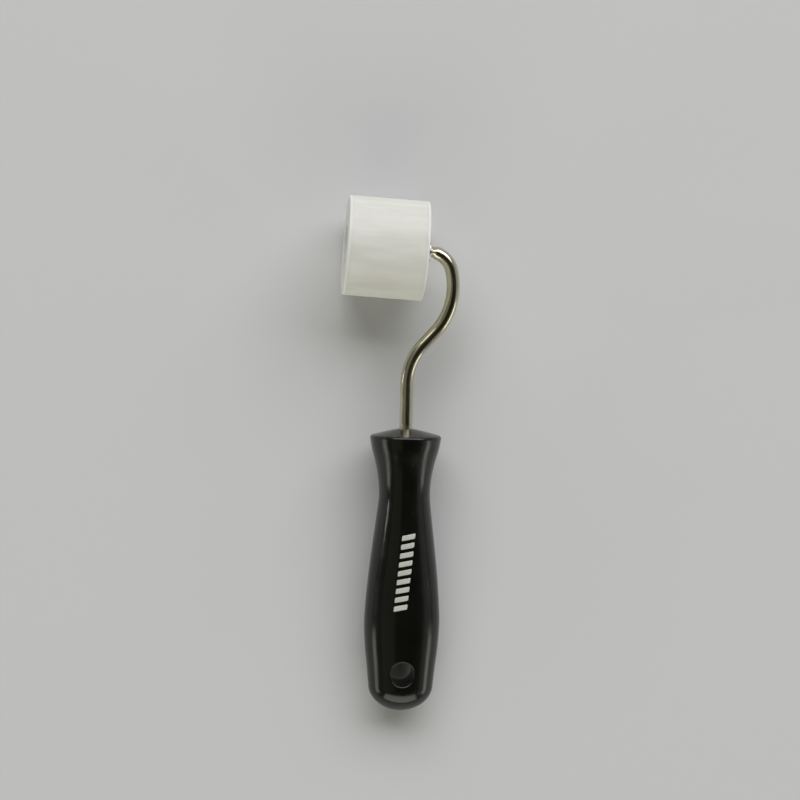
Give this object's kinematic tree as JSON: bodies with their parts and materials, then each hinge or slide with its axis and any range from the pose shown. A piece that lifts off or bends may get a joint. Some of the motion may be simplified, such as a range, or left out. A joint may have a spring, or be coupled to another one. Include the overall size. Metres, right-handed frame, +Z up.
{
  "type": "wallpaper seam roller",
  "caption": "Hand roller for pressing wallpaper seams: a white plastic roller on a bent nickel-plated rod with a black plastic handle and a hanging hole.",
  "frame": {"origin": "middle of the bottom of the object's box, on the table that the tool rests on with its roller and the belly of its handle", "axes": "+Y along the tool from the handle's butt to the roller, +X to the side that the rod bows out to, +Z up from the table"},
  "size_m": [0.0452, 0.1968, 0.038],
  "materials": {
    "handle_plastic": "moulded black polypropylene, glossy, faint handling scuffs",
    "nickel_plate": "bright nickel plate on drawn steel wire",
    "roller_plastic": "satin white plastic, faint turning lines",
    "bush_plastic": "natural acetal",
    "zinc_plate": "bright zinc plate"
  },
  "bodies": {
    "handle_and_rod": {"handle": "handle_plastic", "rod": "nickel_plate", "push_nut": "zinc_plate"},
    "roller": {"roller_sleeve": "roller_plastic", "outboard_end_cap": "roller_plastic", "inboard_end_cap": "roller_plastic", "outboard_bush": "bush_plastic", "inboard_bush": "bush_plastic"},
    "outboard_washer": {"outboard_washer": "zinc_plate"},
    "inboard_washer": {"inboard_washer": "zinc_plate"}
  },
  "joints": [
    {"name": "roller_spin", "type": "hinge", "parent": "handle_and_rod", "child": "roller", "pos_m": [-0.00609, 0.07857, 0.01902], "axis": [-0.9981, 0.061, 0], "continuous": true},
    {"name": "outboard_washer_spin", "type": "hinge", "parent": "handle_and_rod", "child": "outboard_washer", "pos_m": [-0.01827, 0.07932, 0.01902], "axis": [-0.9981, 0.061, 0], "continuous": true},
    {"name": "inboard_washer_spin", "type": "hinge", "parent": "handle_and_rod", "child": "inboard_washer", "pos_m": [0.01047, 0.07756, 0.01902], "axis": [-0.9981, 0.061, 0], "continuous": true}
  ]
}
